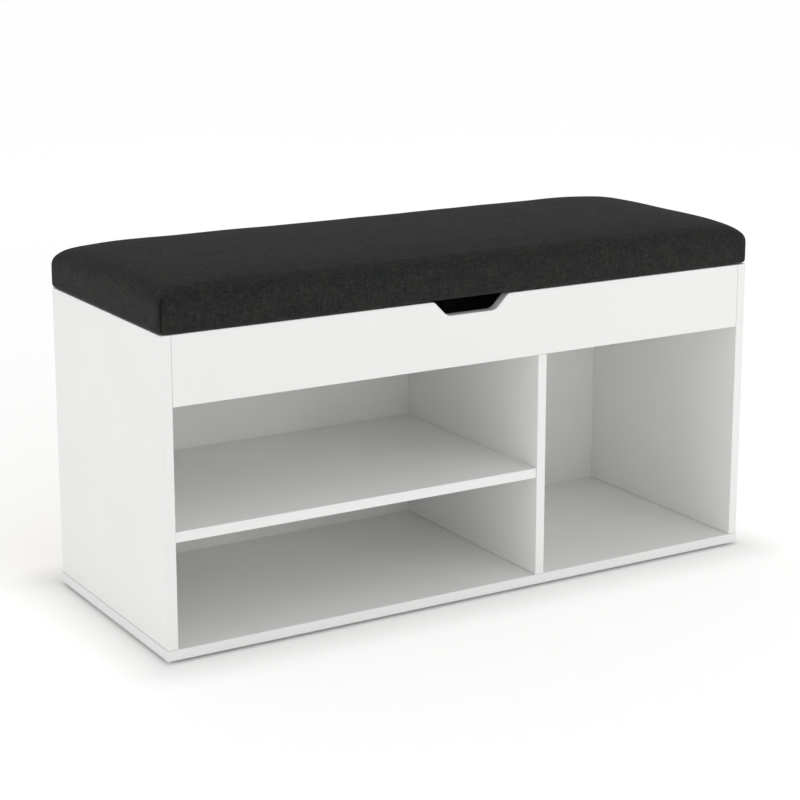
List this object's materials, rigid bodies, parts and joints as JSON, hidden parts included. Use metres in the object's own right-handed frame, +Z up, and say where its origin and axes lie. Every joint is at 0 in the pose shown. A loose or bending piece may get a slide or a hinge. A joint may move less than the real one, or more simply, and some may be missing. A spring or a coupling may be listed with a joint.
{
  "type": "entryway bench",
  "caption": "Low storage bench with open shoe bays, a shelf, and a hinged cushioned seat lid over a hidden storage box behind a notched front apron.",
  "frame": {"origin": "on the floor, under the middle of the outer box", "axes": "+X along the bench to the right as seen from the front, -Y to the front, +Z up"},
  "size_m": [1.005, 0.391, 0.5323],
  "materials": {
    "white_melamine": "white melamine facing on chipboard, satin, very fine texture",
    "white_hardboard": "hardboard, white lacquer on its inner face and bare brown fibre behind",
    "charcoal_weave": "plain-woven charcoal upholstery cloth with faint lighter slubs",
    "cream_foam": "open-cell polyurethane foam",
    "raw_chipboard": "unfaced chipboard",
    "black_nonwoven": "black spun-bonded dust cover",
    "bright_steel": "nickel-plated steel",
    "zinc_plate": "zinc-plated pressed steel",
    "zinc_diecast": "die-cast zinc",
    "grey_nylon": "pale grey nylon",
    "clear_rubber": "soft translucent polyurethane"
  },
  "bodies": {
    "carcass": {"apron_cam_1": "zinc_diecast", "apron_cam_2": "zinc_diecast", "back_panel": "white_hardboard", "base_screw_1": "bright_steel", "base_screw_2": "bright_steel", "base_screw_3": "bright_steel", "base_screw_4": "bright_steel", "base_screw_5": "bright_steel", "base_screw_6": "bright_steel", "bottom_panel": "white_melamine", "divider_panel": "white_melamine", "divider_screw_1": "bright_steel", "divider_screw_2": "bright_steel", "front_apron": "white_melamine", "front_left_glide": "grey_nylon", "front_middle_glide": "grey_nylon", "front_right_glide": "grey_nylon", "left_bumper": "clear_rubber", "left_hinge_pin": "bright_steel", "left_hinge_rail_leaf": "bright_steel", "left_side_panel": "white_melamine", "left_stay_track": "zinc_plate", "middle_hinge_pin": "bright_steel", "middle_hinge_rail_leaf": "bright_steel", "rail_cam_1": "zinc_diecast", "rail_cam_2": "zinc_diecast", "rear_left_glide": "grey_nylon", "rear_middle_glide": "grey_nylon", "rear_rail": "white_melamine", "rear_right_glide": "grey_nylon", "right_bumper": "clear_rubber", "right_hinge_pin": "bright_steel", "right_hinge_rail_leaf": "bright_steel", "right_side_panel": "white_melamine", "right_stay_track": "zinc_plate", "shelf": "white_melamine", "shelf_cam_1": "zinc_diecast", "shelf_cam_2": "zinc_diecast", "shelf_cam_3": "zinc_diecast", "shelf_cam_4": "zinc_diecast", "storage_floor": "white_melamine", "storage_floor_cam_1": "zinc_diecast", "storage_floor_cam_2": "zinc_diecast", "storage_floor_cam_3": "zinc_diecast", "storage_floor_cam_4": "zinc_diecast"},
    "seat_lid": {"lid_board": "raw_chipboard", "seat_foam": "cream_foam", "seat_cover": "charcoal_weave", "dust_cover": "black_nonwoven", "left_hinge_lid_leaf": "bright_steel", "middle_hinge_lid_leaf": "bright_steel", "right_hinge_lid_leaf": "bright_steel", "left_stay_bracket": "zinc_plate", "left_stay_rivet": "zinc_plate", "right_stay_bracket": "zinc_plate", "right_stay_rivet": "zinc_plate"},
    "left_stay": {"left_stay_arm": "zinc_plate", "left_stay_stud": "zinc_plate"},
    "right_stay": {"right_stay_arm": "zinc_plate", "right_stay_stud": "zinc_plate"}
  },
  "joints": [
    {"name": "seat_hinge", "type": "hinge", "parent": "carcass", "child": "seat_lid", "pos_m": [0, 0.19275, 0.45905], "axis": [-1, 0, 0], "range_deg": [0, 75]},
    {"name": "left_stay_pivot", "type": "hinge", "parent": "seat_lid", "child": "left_stay", "pos_m": [-0.4791, 0.07317, 0.44905], "axis": [-1, 0, 0], "range_deg": [-150, 0]},
    {"name": "right_stay_pivot", "type": "hinge", "parent": "seat_lid", "child": "right_stay", "pos_m": [0.4791, 0.07317, 0.44905], "axis": [-1, 0, 0], "range_deg": [-150, 0]}
  ],
  "couplings": [
    {"joint": "left_stay_pivot", "follows": "seat_hinge", "ratio": -2},
    {"joint": "right_stay_pivot", "follows": "seat_hinge", "ratio": -2}
  ]
}
